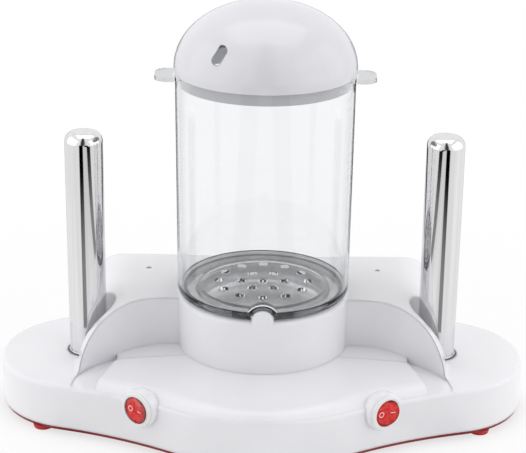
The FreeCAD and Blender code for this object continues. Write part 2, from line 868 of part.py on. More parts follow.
def upper_housing():
    zero = as_size(0)
    edges = (S["wing_edge"], S["apron_edge"], S["plateau_edge"], S["trough_edge"])
    outer = [housing_form("outer", zero, edges), collar_form()]
    nose_inside = S["apron_edge"] - S["wall"]
    cavity = [housing_form("inner", S["wall"], (None, nose_inside, None, None))]
    niche_wall = []
    holes = []
    added = []
    cavity.append(cylinder("collar_hollow", S["collar_radius"] - S["wall"], 0, ledge_under))
    for side, word in SIDES:
        x = side * S["spike_x"]
        y = -S["spike_y"]
        place = switch_place(side)
        outer.append(switch_boss(f"boss_{word}", place, zero, S["boss_edge"]))
        cavity.append(switch_boss(f"boss_hollow_{word}", place, S["wall"], S["boss_edge"]))
        neck = S["switch_radius"] + S["switch_fit"]
        holes.append(bar_at(f"switch_hole_{word}", neck, -S["switch_neck"] - S["switch_back_gap"], 1, place))
        back = S["switch_back_radius"] + S["switch_back_gap"]
        holes.append(bar_at(f"switch_room_{word}", back, -S["switch_deep"] - 1, 0, place))
        wall_radius = S["niche_radius"] + S["wall"]
        niche_wall.append(cylinder(f"niche_wall_{word}", wall_radius, wing_under, FAR, x, y))
        niche = cylinder(f"niche_{word}", S["niche_radius"], S["wing_top"], FAR, x, y)
        bush_hole = bush_radius + S["bush_gap"]
        entry = cylinder(f"spike_hole_{word}", bush_hole, wing_under - 1, FAR, x, y)
        holes += [niche, entry]
        for number, reach in enumerate((S["ear_reach"], -S["ear_reach"])):
            tag = f"{word}{number}"
            level = wing_under + S["wall"] / 2
            added.append(cylinder(f"ear_boss_{tag}", S["post_radius"], holder_top, level, x, y + reach))
            depth = holder_top + S["ear_screw_long"]
            holes.append(
                cylinder(f"ear_hole_{tag}", S["screw_hole_radius"], holder_top - 1, depth, x, y + reach)
            )
        for number, (post_x, post_y, level) in enumerate(POSTS):
            tag = f"{word}{number}"
            top = level - S["wall"] / 2
            added.append(
                cylinder(f"plate_post_{tag}", S["post_radius"], base_top, top, side * post_x, post_y)
            )
            depth = base_top + S["plate_screw_long"]
            holes.append(
                cylinder(
                    f"plate_hole_{tag}", S["screw_hole_radius"], base_top - 1, depth, side * post_x, post_y
                )
            )
        mark_low = shoulder_height(S["mark_y"]) - S["mark_depth"]
        holes.append(
            cylinder(f"mark_{word}", S["mark_radius"], mark_low, FAR, side * S["mark_x"], S["mark_y"])
        )
        reach = side * bridge_post_y
        post = cylinder(
            f"bridge_post_{word}", S["bridge_post_radius"], S["bridge_top"], S["ledge_top"] - 1, 0, reach
        )
        added.append(post)
    # the wall of the collar above the ledge, kept out of the hollow
    niche_wall.append(cylinder("collar_keep", S["collar_radius"], ledge_under, FAR))
    holes.append(cylinder("bore", S["collar_bore"], S["ledge_top"], FAR))
    holes.append(cylinder("ledge_hole", S["ledge_bore"], ledge_under - 1, FAR))
    cord_place = Placement(Vector(S["cord_x"].value, 0, S["cord_z"].value), Rotation(Vector(1, 0, 0), -90))
    cord_hole = S["grommet_neck"] + S["grommet_fit"]
    holes.append(bar_at("cord_hole", cord_hole, S["rear_reach"] - 2 * S["wall"], FAR, cord_place))

    skin = fuse("housing_skin", *outer)
    room = boolean("Cut", "housing_room", fuse("housing_hollow", *cavity), fuse("kept_walls", *niche_wall))
    shell = boolean("Cut", "housing_shell", skin, room)
    fitted = fuse("housing_fitted", shell, *added)
    return node("upper_housing", boolean("Cut", "upper_housing", fitted, fuse("housing_holes", *holes)))


upper_housing()

# ------------------------------------------------------------ plate and feet


def bottom_plate():
    body = new_body("bottom_plate")
    sketch = new_sketch(body, "plate_outline", offset=S["foot_drop"])
    footprint(sketch, S["plate_inset"])
    pad(body, sketch, S["plate_thick"], "plate_block")
    lip = new_sketch(body, "lip_outline", offset=base_top)
    footprint(lip, S["wall"] + S["lip_gap"])
    footprint(lip, S["wall"] + S["lip_gap"] + S["lip_wall"])
    pad(body, lip, S["lip_tall"], "plate_lip")
    through = new_sketch(body, "plate_holes", offset=S["foot_drop"])
    wells = new_sketch(body, "screw_wells", offset=S["foot_drop"])
    for x, y, _ in POSTS:
        for px, py in mirrored_pair(x, y):
            circle(through, px, py, S["screw_hole_radius"])
            circle(wells, px, py, S["screw_head_radius"] + S["counterbore_gap"])
    for px, py in foot_places():
        circle(through, px, py, S["foot_stud_radius"] + S["foot_stud_gap"])
    for step in (-3, -2, -1, 0, 1, 2, 3):
        y = step * S["vent_step"]
        half = S["vent_wide"] / 2
        long = S["vent_long"] / 2
        polygon(through, [(-long, y - half), (long, y - half), (long, y + half), (-long, y + half)])
    cut(body, through, S["plate_thick"], "plate_through", upward=True)
    cut(body, wells, S["screw_head_tall"] + SCREW_SPARE, "plate_wells", upward=True)
    return node("bottom_plate", body)


def foot_places():
    """Two feet under each wing and one under the nose."""
    front = mirrored_pair(S["foot_front_x"], -S["foot_front_y"])
    rear = mirrored_pair(S["foot_rear_x"], S["foot_rear_y"])
    return [*front, *rear, (as_size(0), -S["foot_nose_y"])]


def foot():
    stud = S["foot_stud_radius"]
    return turned_body(
        "foot",
        [
            (0, 0),
            (S["foot_radius"], 0, S["foot_flare"]),
            (S["foot_radius"] + S["foot_flare"], S["foot_drop"]),
            (stud, S["foot_drop"]),
            (stud, base_top),
            (0, base_top),
        ],
    )


def screw(name, head_top, long):
    """A pan-head screw standing on its head, its shank pointing up."""
    head = head_top - S["screw_head_tall"]
    return turned_body(
        name,
        [
            (0, head),
            (S["screw_head_radius"], head, S["screw_head_tall"] / 2),
            (S["screw_head_radius"], head_top),
            (S["screw_radius"], head_top),
            (S["screw_radius"], head_top + long),
            (0, head_top + long),
        ],
    )


def copies(master, places):
    """Copies of a master's shape at x, y places."""
    doc.recompute()
    shapes = []
    for x, y in places:
        shape = master.Shape.copy()
        shape.translate(Vector(as_size(x).value, as_size(y).value, 0))
        shapes.append(shape)
    return shapes


bottom_plate()
group("feet", copies(foot(), foot_places()))
plate_screw_top = S["foot_drop"] + S["screw_head_tall"] + SCREW_SPARE
plate_screw_long = base_top + S["plate_screw_long"] - 1 - plate_screw_top
post_places = [place for x, y, _ in POSTS for place in mirrored_pair(x, y)]
group("plate_screws", copies(screw("plate_screw", plate_screw_top, plate_screw_long), post_places))

# ------------------------------------------------------------ heated dish


def heating_dish():
    out = S["dish_radius"]
    inner = out - S["dish_thick"]
    rim = S["collar_bore"] - S["dish_gap"]
    under = S["ledge_top"] + S["seal_thick"]
    low = S["dish_bottom"]
    body = turned_body(
        "heating_dish",
        [
            (0, low),
            (out, low, S["dish_round"]),
            (out, under),
            (rim, under),
            (rim, under + S["dish_thick"]),
            (inner, under + S["dish_thick"]),
            (inner, low + S["dish_thick"], S["dish_round"] - S["dish_thick"]),
            (0, low + S["dish_thick"]),
        ],
    )
    return node("heating_dish", body)


def ring(name, inner, outer, low, high):
    return turned_body(name, [(inner, low), (outer, low), (outer, high), (inner, high)])


def dish_seal():
    rim = S["collar_bore"] - S["dish_gap"]
    low = S["ledge_top"]
    return node(
        "dish_seal", ring("dish_seal", S["ledge_bore"] + S["dish_gap"], rim, low, low + S["seal_thick"])
    )


def heat_spreader():
    """The aluminium disc under the dish, its groove for the heater and its stud."""
    top = S["dish_bottom"]
    low = top - S["spreader_thick"]
    body = turned_body(
        "spreader_disc",
        [
            (0, S["stud_end"]),
            (S["stud_radius"], S["stud_end"]),
            (S["stud_radius"], low),
            (S["spreader_radius"], low),
            (S["spreader_radius"], top),
            (0, top),
        ],
    )
    groove = doc.addObject("Part::Torus", "heater_groove")
    bind(groove, Radius1=S["heater_ring"], Radius2=S["heater_tube"] + S["heater_fit"])
    groove.Placement.Base.z = low.value
    bind(groove, Placement__Base__z=low)
    return node("heat_spreader", boolean("Cut", "heat_spreader", body, groove))


def dish_heater():
    """An open ring of tube with a cold pin turned down at each end."""
    level = S["dish_bottom"] - S["spreader_thick"]
    loop = doc.addObject("Part::Torus", "heater_loop")
    bind(loop, Radius1=S["heater_ring"], Radius2=S["heater_tube"], Placement__Base__z=level)
    bind(loop, Angle3=360 - S["heater_gap_turn"])
    turn = S["heater_gap_turn"].value / 2
    loop.Placement.Rotation = Rotation(Vector(0, 0, 1), turn)
    pins = []
    for word, side in (("back", 1), ("front", -1)):
        x = S["heater_ring"].value * math.cos(math.radians(turn))
        y = side * S["heater_ring"].value * math.sin(math.radians(turn))
        end = doc.addObject("Part::Sphere", f"heater_bend_{word}")
        bind(end, Radius=S["heater_tube"], Placement__Base__z=level)
        end.Placement.Base = Vector(x, y, level.value)
        pins += [end, cylinder(f"heater_pin_{word}", S["heater_tube"], S["heater_pin_end"], level, x, y)]
    return node("dish_heater", fuse("dish_heater", loop, *pins))


def thermostat():
    top = S["dish_bottom"] - S["spreader_thick"]
    low = top - S["thermostat_tall"]
    x = -S["thermostat_x"]
    can = cylinder("thermostat_can", S["thermostat_radius"], low, top, x)
    blades = []
    for word, side in (("back", 1), ("front", -1)):
        y = side * S["thermostat_radius"] / 2
        blades.append(
            block(
                f"thermostat_blade_{word}",
                (x - S["blade_thick"] / 2, x + S["blade_thick"] / 2),
                (y - S["blade_wide"] / 2, y + S["blade_wide"] / 2),
                (low - S["blade_long"], low + 1),
            )
        )
    return node("thermostat", fuse("thermostat", can, *blades))


def block(name, xs, ys, zs):
    box = doc.addObject("Part::Box", name)
    low = [as_size(span[0]) for span in (xs, ys, zs)]
    size = [as_size(span[1]) - span[0] for span in (xs, ys, zs)]
    bind(box, Length=size[0], Width=size[1], Height=size[2])
    bind(box, Placement__Base__x=low[0], Placement__Base__y=low[1], Placement__Base__z=low[2])
    return box


def dish_bridge():
    body = new_body("dish_bridge")
    low = S["bridge_top"] - S["bridge_thick"]
    sketch = new_sketch(body, "bridge_outline", offset=low)
    half = S["bridge_wide"] / 2
    reach = bridge_post_y + S["bridge_post_radius"] - S["dish_gap"]
    polygon(
        sketch, [(-half, -reach, 2), (half, -reach, 2), (half, reach, 2), (-half, reach, 2)]
    )
    circle(sketch, 0, 0, S["stud_radius"] + S["foot_stud_gap"])
    pad(body, sketch, S["bridge_thick"], "bridge_bar")
    return node("dish_bridge", body)


def dish_nut():
    body = new_body("dish_nut")
    low = S["bridge_top"] - S["bridge_thick"] - S["nut_tall"]
    sketch = new_sketch(body, "nut_outline", offset=low)
    reach = S["nut_across"] / math.sqrt(3)
    corners = []
    for step in range(6):
        turn = math.radians(60 * step)
        corners.append((reach * math.cos(turn), reach * math.sin(turn)))
    polygon(sketch, corners)
    circle(sketch, 0, 0, S["stud_radius"] + S["foot_stud_gap"])
    pad(body, sketch, S["nut_tall"], "nut_prism")
    return node("dish_nut", body)


heating_dish()
dish_seal()
heat_spreader()
dish_heater()
thermostat()
dish_bridge()
dish_nut()

# ------------------------------------------------------------ container and lid

floor_top = S["jar_floor"] + S["jar_floor_thick"]


def hood_block(name, grow, low):
    """A block over the key's arch, standing off the key by its gap and grow."""
    half = key_half + S["key_gap"] + grow
    top = S["key_top"] + S["key_gap"] + grow
    back = key_back - S["key_gap"] - grow
    front = S["collar_radius"] + S["jar_wall"]
    return arch_block(name, half, top, low, back, front)


def container():
    """The clear cylinder, notched over the key's hood, and its two thumb tabs."""
    wall = S["jar_wall"]
    tube = turned_body(
        "container_tube",
        [
            (S["jar_base_radius"] - wall, floor_top),
            (S["jar_base_radius"], floor_top),
            (S["jar_top_radius"], S["jar_top"]),
            (S["jar_top_radius"] - wall, S["jar_top"]),
        ],
    )
    tabs = new_body("tabs")
    sketch = new_sketch(tabs, "tab_outline", offset=S["jar_top"] - S["tab_drop"] - S["tab_thick"])
    reach = S["tab_reach"]
    half = S["tab_wide"] / 2
    round_off = S["tab_round"]
    corners = [(-reach, -half), (reach, -half), (reach, half), (-reach, half)]
    polygon(sketch, [(*corner, round_off) for corner in corners])
    pad(tabs, sketch, S["tab_thick"], "tab_bar")
    tab_core = cylinder("tab_core", S["jar_top_radius"] - wall / 2, floor_top, S["jar_top"])
    solid = fuse("container_solid", tube, boolean("Cut", "tab_pair", tabs, tab_core))
    notch = hood_block("container_notch", wall + S["floor_gap"], S["jar_floor"])
    return node("container", boolean("Cut", "container", solid, notch))


def container_floor():
    """The clear base: its seat on the collar, pierced floor, spigot and key notch."""
    seat = S["collar_top"]
    spigot_out = S["dish_radius"] - S["dish_thick"] - S["spigot_gap"]
    spigot_in = spigot_out - S["spigot_wall"]
    plate = turned_body(
        "floor_plate",
        [
            (0, S["jar_floor"]),
            (spigot_in, S["jar_floor"]),
            (spigot_in, S["spigot_end"]),
            (spigot_out, S["spigot_end"]),
            (spigot_out, seat),
            (S["jar_base_radius"], seat, S["jar_foot_round"]),
            (S["jar_base_radius"], floor_top),
            (0, floor_top),
        ],
    )
    steam = new_sketch(plate, "steam_holes", offset=S["spigot_end"])
    circle(steam, 0, 0, S["steam_hole_radius"])
    for count, reach in ((6, S["steam_ring_near"]), (12, S["steam_ring_far"])):
        for step in range(count):
            turn = math.tau * step / count
            circle(steam, reach * math.cos(turn), reach * math.sin(turn), S["steam_hole_radius"])
    cut(plate, steam, floor_top - S["spigot_end"], "steam_pierced", upward=True)
    notch = hood_block("floor_notch", as_size(0), S["spigot_end"])
    return node("container_floor", boolean("Cut", "container_floor", plate, notch))


def key_hood():
    """The clear cap on the floor that the collar's key stands in."""
    core = cylinder("hood_core", S["jar_base_radius"], floor_top, S["jar_top"])
    form = boolean("Common", "hood_form", hood_block("hood_outside", S["jar_wall"], floor_top), core)
    hollow = hood_block("hood_hollow", as_size(0), S["jar_floor"])
    return node("key_hood", boolean("Cut", "key_hood", form, hollow))


def dome(name, reach, rise, level):
    """Half an ellipsoid standing on a level."""
    half = doc.addObject("Part::Ellipsoid", name)
    bind(half, Radius1=rise, Radius2=reach, Placement__Base__z=level)
    half.Angle1 = 0
    return half


def slot_loop(sketch, ends, half):
    """A straight slot with round ends between two points."""
    first, last = (Vector(as_size(x).value, as_size(y).value, 0) for x, y in ends)
    along = (last - first).normalize()
    aside = Vector(-along.y, along.x, 0) * half.value
    cap_last = sketch.addGeometry(arc_between(last, half.value, last - aside, last + aside, 1), False)
    cap_first = sketch.addGeometry(arc_between(first, half.value, first + aside, first - aside, 1), False)
    left = sketch.addGeometry(Part.LineSegment(last + aside, first + aside), False)
    right = sketch.addGeometry(Part.LineSegment(first - aside, last - aside), False)
    sketch.addConstraint(Sketcher.Constraint("Tangent", cap_last, 2, left, 1))
    sketch.addConstraint(Sketcher.Constraint("Tangent", left, 2, cap_first, 1))
    sketch.addConstraint(Sketcher.Constraint("Tangent", cap_first, 2, right, 1))
    sketch.addConstraint(Sketcher.Constraint("Tangent", right, 2, cap_last, 1))
    pin(sketch, cap_last, 3, *ends[1])
    pin(sketch, cap_first, 3, *ends[0])
    set_radius(sketch, cap_last, half)


def lid():
    seat = S["jar_top"]
    band_top = seat + S["lid_band"]
    inner = lid_radius - S["lid_wall"]
    rise = S["dome_rise"]
    band = cylinder("lid_band", lid_radius, seat, band_top)
    outer = fuse("lid_form", dome("dome_out", lid_radius, rise, band_top), band)
    hollow = fuse(
        "lid_hollow",
        dome("dome_in", inner, rise - S["lid_wall"], band_top),
        cylinder("band_in", inner, seat - 1, band_top),
    )
    skirt_out = S["jar_top_radius"] - S["jar_wall"] - S["skirt_gap"]
    skirt_in = skirt_out - S["skirt_wall"]
    rim = ring("lid_rim", skirt_in, inner + S["lid_wall"] / 2, seat, band_top)
    skirt = ring("lid_skirt", skirt_in, skirt_out, seat - S["skirt_drop"], seat + 1)
    solid = fuse("lid_solid", boolean("Cut", "lid_shell", outer, hollow), rim, skirt)
    slot = new_body("lid_slot")
    sketch = new_sketch(slot, "slot_outline", "XZ_Plane")
    lean = math.radians(S["slot_lean"].value)
    along = Vector(math.sin(lean), math.cos(lean), 0)
    half = S["slot_long"] / 2 - S["slot_wide"] / 2
    ends = []
    for side in (-1, 1):
        ends.append((-S["slot_x"] + side * half * along.x, S["slot_height"] + side * half * along.y))
    slot_loop(sketch, ends, S["slot_wide"] / 2)
    pad(slot, sketch, FAR, "slot_block")
    return node("lid", boolean("Cut", "lid", solid, slot))


container()
container_floor()
key_hood()
lid()

# ------------------------------------------------------------ bread spikes

spike_inner = S["spike_radius"] - S["spike_wall"]
core_reach = spike_inner - S["core_gap"]
ear_places = [
    (side * S["spike_x"], -S["spike_y"] + hand * S["ear_reach"]) for side, _ in SIDES for hand in (1, -1)
]


def spike(side, word):
    """The stainless tube with its foot flange and its closed, rounded top."""
    low = holder_top
    foot_top = low + S["spike_flange_thick"]
    step_top = S["wing_top"] + S["bush_rise"] + S["spike_step_rise"]
    top = S["spike_top"]
    tube = turned_body(
        f"spike_{word}",
        [
            (spike_inner, low),
            (S["spike_flange"], low),
            (S["spike_flange"], foot_top),
            (spike_foot, foot_top),
            (spike_foot, step_top),
            (S["spike_radius"], step_top),
            (S["spike_radius"], top, S["spike_tip"]),
            (0, top),
            (0, top - S["spike_wall"]),
            (spike_inner, top - S["spike_wall"], S["spike_tip"] - S["spike_wall"]),
        ],
    )
    return node(f"spike_{word}", tube, side * S["spike_x"], -S["spike_y"])


def spike_bush(side, word):
    low = holder_top + S["spike_flange_thick"]
    bore = spike_foot + S["bush_gap"]
    bush = turned_body(
        f"spike_bush_{word}",
        [
            (bore, low),
            (S["spike_flange"], low),
            (S["spike_flange"], wing_under),
            (bush_radius, wing_under),
            (bush_radius, S["wing_top"] + S["bush_rise"], S["bush_rise"]),
            (bore, S["wing_top"] + S["bush_rise"]),
        ],
    )
    return node(f"spike_bush_{word}", bush, side * S["spike_x"], -S["spike_y"])


def spike_holder(side, word):
    """The plate that presses the spike's flange up, with an ear front and back."""
    low = holder_top - S["holder_thick"]
    disc = cylinder(f"holder_disc_{word}", S["holder_radius"], low, holder_top)
    reach = S["ear_reach"]
    half = S["ear_radius"]
    bar = block(f"holder_bar_{word}", (-half, half), (-reach, reach), (low, holder_top))
    solids = [disc, bar]
    holes = [cylinder(f"holder_lead_{word}", S["holder_lead_hole"], low - 1, holder_top + 1)]
    for hand in (1, -1):
        tag = f"{word}_{hand + 1}"
        y = hand * reach
        solids.append(cylinder(f"holder_ear_{tag}", S["ear_radius"], low, holder_top, 0, y))
        holes.append(cylinder(f"holder_hole_{tag}", S["screw_hole_radius"], low - 1, holder_top + 1, 0, y))
    form = fuse(f"holder_form_{word}", *solids)
    plate = boolean("Cut", f"spike_holder_{word}", form, fuse(f"holder_holes_{word}", *holes))
    return node(f"spike_holder_{word}", plate, side * S["spike_x"], -S["spike_y"])


def spike_heater(side, word):
    """The ceramic core: a foot on the holder, a wound stem and three spacers."""
    low = holder_top
    stem = S["core_radius"]
    corners = [(S["core_bore"], low), (core_reach, low)]
    corners += [(core_reach, low + S["core_foot_tall"]), (stem, low + S["core_foot_tall"])]
    for step in (1, 2, 3):
        level = low + (S["core_top"] - low) * (step / 4)
        corners += [(stem, level), (core_reach, level)]
        corners += [(core_reach, level + S["core_spacer_tall"]), (stem, level + S["core_spacer_tall"])]
    corners += [(stem, S["core_top"]), (S["core_bore"], S["core_top"])]
    core = turned_body(f"spike_heater_{word}", corners)
    return node(f"spike_heater_{word}", core, side * S["spike_x"], -S["spike_y"])


for hand, word in SIDES:
    spike(hand, word)
    spike_bush(hand, word)
    spike_holder(hand, word)
    spike_heater(hand, word)
ear_screw_top = holder_top - S["holder_thick"]
ear_screw = screw("ear_screw", ear_screw_top, S["holder_thick"] + S["ear_screw_long"] - SCREW_SPARE)
group("holder_screws", copies(ear_screw, ear_places))

# ------------------------------------------------------------ switches


def place_switch(name, thing, side, lean=0):
    """Sets a piece drawn in a switch's own frame into its boss."""
    place = switch_place(side)
    thing.Placement = Placement(Vector(0, 0, S["switch_z"].value), place.Rotation)
    if lean:
        tilt = Rotation(Vector(0, 1, 0), lean)
        pivot = Vector(0, 0, S["rocker_pivot"].value)
        thing.Placement = thing.Placement.multiply(Placement(pivot - tilt.multVec(pivot), tilt))
    shift = Vector(thing.Placement.Base)
    bind(thing, Placement__Base__z=S["switch_z"])
    return node(name, thing, side * S["switch_x"] + shift.x, place.Base.y + shift.y)


def switch_body(side, word):
    """Round body with a bezel and a well; the rocker's trunnions turn in its wall."""
    low = -S["switch_deep"]
    body = turned_body(
        f"switch_form_{word}",
        [
            (0, low),
            (S["switch_back_radius"], low),
            (S["switch_back_radius"], -S["switch_neck"]),
            (S["switch_radius"], -S["switch_neck"]),
            (S["switch_radius"], 0),
            (S["bezel_radius"], 0),
            (S["bezel_radius"], S["bezel_thick"], S["bezel_thick"] / 2),
            (S["bezel_bore"], S["bezel_thick"]),
            (S["bezel_bore"], -S["rocker_well"]),
            (0, -S["rocker_well"]),
        ],
    )
    gap = S["trunnion_gap"]
    seat = cross_bar(f"trunnion_seat_{word}", S["trunnion_radius"] + gap, S["trunnion_end"] + gap)
    cut_body = boolean("Cut", f"switch_body_{word}", body, seat)
    return place_switch(f"switch_body_{word}", cut_body, side)


def cross_bar(name, radius, reach):
    """A round bar through the rocker's pivot, along its own y."""
    bar = doc.addObject("Part::Cylinder", name)
    bind(bar, Radius=radius, Height=2 * reach)
    bar.Placement.Rotation = Rotation(Vector(1, 0, 0), -90)
    bind(bar, Placement__Base__y=-reach, Placement__Base__z=S["rocker_pivot"])
    return bar


def rocker(side, word):
    """A ball-sided rocker whose two pads rise outwards from the middle."""
    prism = new_body(f"rocker_pads_{word}")
    sketch = new_sketch(prism, f"rocker_outline_{word}", "XZ_Plane")
    reach = S["rocker_radius"] + 1
    rise = S["rocker_mid"] + reach * math.tan(math.radians(S["rocker_slope"].value))
    low = -S["rocker_low"]
    polygon(sketch, [(-reach, low), (reach, low), (reach, rise), (0, S["rocker_mid"]), (-reach, rise)])
    pad(prism, sketch, 2 * reach, f"rocker_prism_{word}", both=True)
    ball = doc.addObject("Part::Sphere", f"rocker_ball_{word}")
    bind(ball, Radius=S["rocker_radius"], Placement__Base__z=S["rocker_pivot"])
    form = boolean("Common", f"rocker_form_{word}", ball, prism)
    trunnion = cross_bar(f"trunnion_{word}", S["trunnion_radius"], S["trunnion_end"])
    whole = fuse(f"rocker_{word}", form, trunnion)
    return place_switch(f"rocker_{word}", whole, side, -S["rocker_tilt"].value)


def switch_terminals(side, word):
    top = -S["switch_deep"]
    blades = []
    for step in (-1, 0, 1):
        x = step * S["blade_step"]
        spans = (
            (x - S["blade_thick"] / 2, x + S["blade_thick"] / 2),
            (-S["blade_wide"] / 2, S["blade_wide"] / 2),
            (top - S["blade_long"], top),
        )
        blades.append(block(f"switch_blade_{word}_{step + 2}", *spans))
    thing = doc.addObject("Part::Compound", f"switch_terminals_{word}")
    thing.Links = blades
    return place_switch(f"switch_terminals_{word}", thing, side)


for hand, word in SIDES:
    switch_body(hand, word)
    rocker(hand, word)
    switch_terminals(hand, word)

# ------------------------------------------------------------ leads


def terminal_block():
    body = new_body("terminal_block")
    half_long = S["block_long"] / 2
    half_wide = S["block_wide"] / 2
    sketch = new_sketch(body, "block_outline", offset=base_top)
    polygon(
        sketch,
        [
            (-half_long, -half_wide, 1.5),
            (half_long, -half_wide, 1.5),
            (half_long, half_wide, 1.5),
            (-half_long, half_wide, 1.5),
        ],
    )
    pad(body, sketch, S["block_tall"], "block_form")
    wells = new_sketch(body, "block_wells", offset=base_top + S["block_tall"])
    leads = new_sketch(body, "block_leads", "XZ_Plane")
    for step in (-1.5, -0.5, 0.5, 1.5):
        x = step * S["block_long"] / 4.5
        for hand in (1, -1):
            circle(wells, x, hand * S["block_wide"] / 4, S["block_well"])
        circle(leads, x, base_top + S["block_tall"] / 3, S["block_lead"])
    cut(body, wells, S["block_tall"] / 3, "block_wells_cut")
    cut(body, leads, S["block_wide"], "block_leads_cut", both=True)
    return node("terminal_block", body, S["block_x"], S["block_y"])


def cord_grommet():
    lip = S["grommet_lip"]
    low = -S["wall"] - lip
    wide = S["cord_hole"] / 2 + S["cord_hole_step"]
    body = turned_body(
        "cord_grommet",
        [
            (wide, low),
            ((S["grommet_neck"] + S["grommet_flange"]) / 2, low),
            ((S["grommet_neck"] + S["grommet_flange"]) / 2, -S["wall"]),
            (S["grommet_neck"], -S["wall"]),
            (S["grommet_neck"], 0),
            (S["grommet_flange"], 0),
            (S["grommet_flange"], lip, lip / 2),
            (S["cord_hole"] / 2, lip),
            (S["cord_hole"] / 2, S["cord_hole_inset"]),
            (wide, S["cord_hole_inset"]),
        ],
    )
    body.Placement.Rotation = Rotation(Vector(1, 0, 0), -90)
    bind(body, Placement__Base__z=S["cord_z"])
    return node("cord_grommet", body, S["cord_x"], S["rear_reach"])


terminal_block()
cord_grommet()
# ------------------------------------------------------------ check and write

doc.recompute()
faults = [thing.Name for thing in doc.Objects if {"Invalid", "Error"} & set(thing.State)]
for name, thing in NODES.items():
    shape = thing.Shape
    if shape.isNull() or not shape.isValid() or not shape.Solids:
        faults.append(name)
if faults:
    raise RuntimeError(f"not sound: {faults}")

os.makedirs("parts", exist_ok=True)
for name, thing in NODES.items():
    thing.Shape.exportStep(f"parts/{name}.step")
    print(name, len(thing.Shape.Solids), round(thing.Shape.Volume))
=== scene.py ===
import json
import math

import bmesh
import bpy
from mathutils import Matrix, Vector


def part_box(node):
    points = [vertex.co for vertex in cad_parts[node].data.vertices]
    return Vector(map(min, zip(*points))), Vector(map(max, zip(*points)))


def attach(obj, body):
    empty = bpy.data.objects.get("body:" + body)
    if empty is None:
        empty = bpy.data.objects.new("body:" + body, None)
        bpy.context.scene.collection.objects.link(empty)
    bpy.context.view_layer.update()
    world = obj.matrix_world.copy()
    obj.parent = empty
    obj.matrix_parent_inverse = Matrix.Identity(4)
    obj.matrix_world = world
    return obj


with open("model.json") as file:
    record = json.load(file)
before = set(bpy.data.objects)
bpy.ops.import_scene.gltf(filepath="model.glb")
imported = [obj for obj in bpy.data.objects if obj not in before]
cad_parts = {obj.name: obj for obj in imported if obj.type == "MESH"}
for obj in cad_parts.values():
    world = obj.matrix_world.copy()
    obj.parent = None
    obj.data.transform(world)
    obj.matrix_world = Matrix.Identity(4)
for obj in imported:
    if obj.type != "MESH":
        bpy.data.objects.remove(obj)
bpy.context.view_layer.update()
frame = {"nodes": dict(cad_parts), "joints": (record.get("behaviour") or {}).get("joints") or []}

# Looks for the hot dog toaster: materials for its parts, the rockers' marks,
# a pale floor and soft studio light. Metres; X right, Y back, Z up.

NODES = frame["nodes"]
JOINTS = {joint["name"]: joint for joint in frame["joints"]}

# ---------------------------------------------------------------- node helpers

COLOUR_A, COLOUR_B, COLOUR_OUT = 6, 7, 2  # the Mix node's sockets for colours
UNTINTED = (1, 1, 1)
BEVEL_SAMPLES = 6


def give(socket, value):
    """Links an input to another node's output, or sets it to a plain value."""
    if isinstance(value, bpy.types.NodeSocket):
        socket.id_data.links.new(value, socket)
    else:
        socket.default_value = value


def set_inputs(node, **values):
    for key, value in values.items():
        give(node.inputs[key.replace("_", " ")], value)


def node_adder(tree):
    """A helper that adds one node to the tree and sets its inputs."""

    def add(kind, **values):
        made = tree.nodes.new(kind)
        set_inputs(made, **values)
        return made

    return add


def new_material(name):
    """A material, its shader, and a helper that adds nodes to it."""
    mat = bpy.data.materials.new(name)
    mat.use_nodes = True
    return mat, mat.node_tree.nodes["Principled BSDF"], node_adder(mat.node_tree)


def calculate(add, operation, *values):
    """One Math node on sockets or numbers."""
    made = add("ShaderNodeMath")
    made.operation = operation
    for socket, value in zip(made.inputs, values):
        give(socket, value)
    return made.outputs[0]


def vector_step(add, operation, first, second):
    """One Vector Math node on a socket and a plain vector."""
    made = add("ShaderNodeVectorMath", Vector=first)
    made.operation = operation
    made.inputs[1].default_value = second
    return made.outputs["Vector"]


def length(add, vector):
    made = add("ShaderNodeVectorMath", Vector=vector)
    made.operation = "LENGTH"
    return made.outputs["Value"]


def spread(add, value, smooth=False, **limits):
    """The value moved from one range to another; both are 0 to 1 where not given."""
    made = add("ShaderNodeMapRange", Value=value, **limits)
    if smooth:
        made.interpolation_type = "SMOOTHSTEP"
    return made.outputs["Result"]


def multiply(add, first, *others):
    """One colour times the others, in turn."""
    for other in others:
        blend = add("ShaderNodeMix")
        blend.data_type = "RGBA"
        blend.blend_type = "MULTIPLY"
        set_inputs(blend, Factor=1.0)
        give(blend.inputs[COLOUR_A], first)
        give(blend.inputs[COLOUR_B], other)
        first = blend.outputs[COLOUR_OUT]
    return first


def ramp(add, factor, low, high):
    """A two-stop colour ramp; each stop is a place and a colour."""
    made = add("ShaderNodeValToRGB", Fac=factor)
    for element, (place, colour) in zip(made.color_ramp.elements, (low, high)):
        element.position = place
        element.color = (*colour, 1)
    return made.outputs["Color"]


def object_space(add):
    return add("ShaderNodeTexCoord").outputs["Object"]


def noise(add, scale, detail=3.0, stretch=None):
    """Object-space noise, stretched along an axis where asked."""
    where = object_space(add)
    if stretch:
        where = add("ShaderNodeMapping", Vector=where, Scale=stretch).outputs["Vector"]
    return add("ShaderNodeTexNoise", Vector=where, Scale=scale, Detail=detail).outputs["Fac"]


def mottled(add, factor, colour, shade, low):
    """The colour, darkened to its shade where the factor is low; the stops are symmetric."""
    darker = tuple(channel * shade for channel in colour)
    return ramp(add, factor, (low, darker), (1 - low, colour))


def uneven(add, factor, rough, share):
    """A roughness that strays by a share of itself, as the factor does."""
    return spread(add, factor, To_Min=rough * (1 - share), To_Max=rough * (1 + share))


def relief(add, height, strength, depth, edge=0.0):
    """A bumped normal, over edges softened to the given radius."""
    bump = add("ShaderNodeBump", Height=height, Strength=strength, Distance=depth)
    if edge:
        soft = add("ShaderNodeBevel", Radius=edge)
        soft.samples = BEVEL_SAMPLES
        set_inputs(bump, Normal=soft.outputs["Normal"])
    return bump.outputs["Normal"]


# ---------------------------------------------------------------- materials

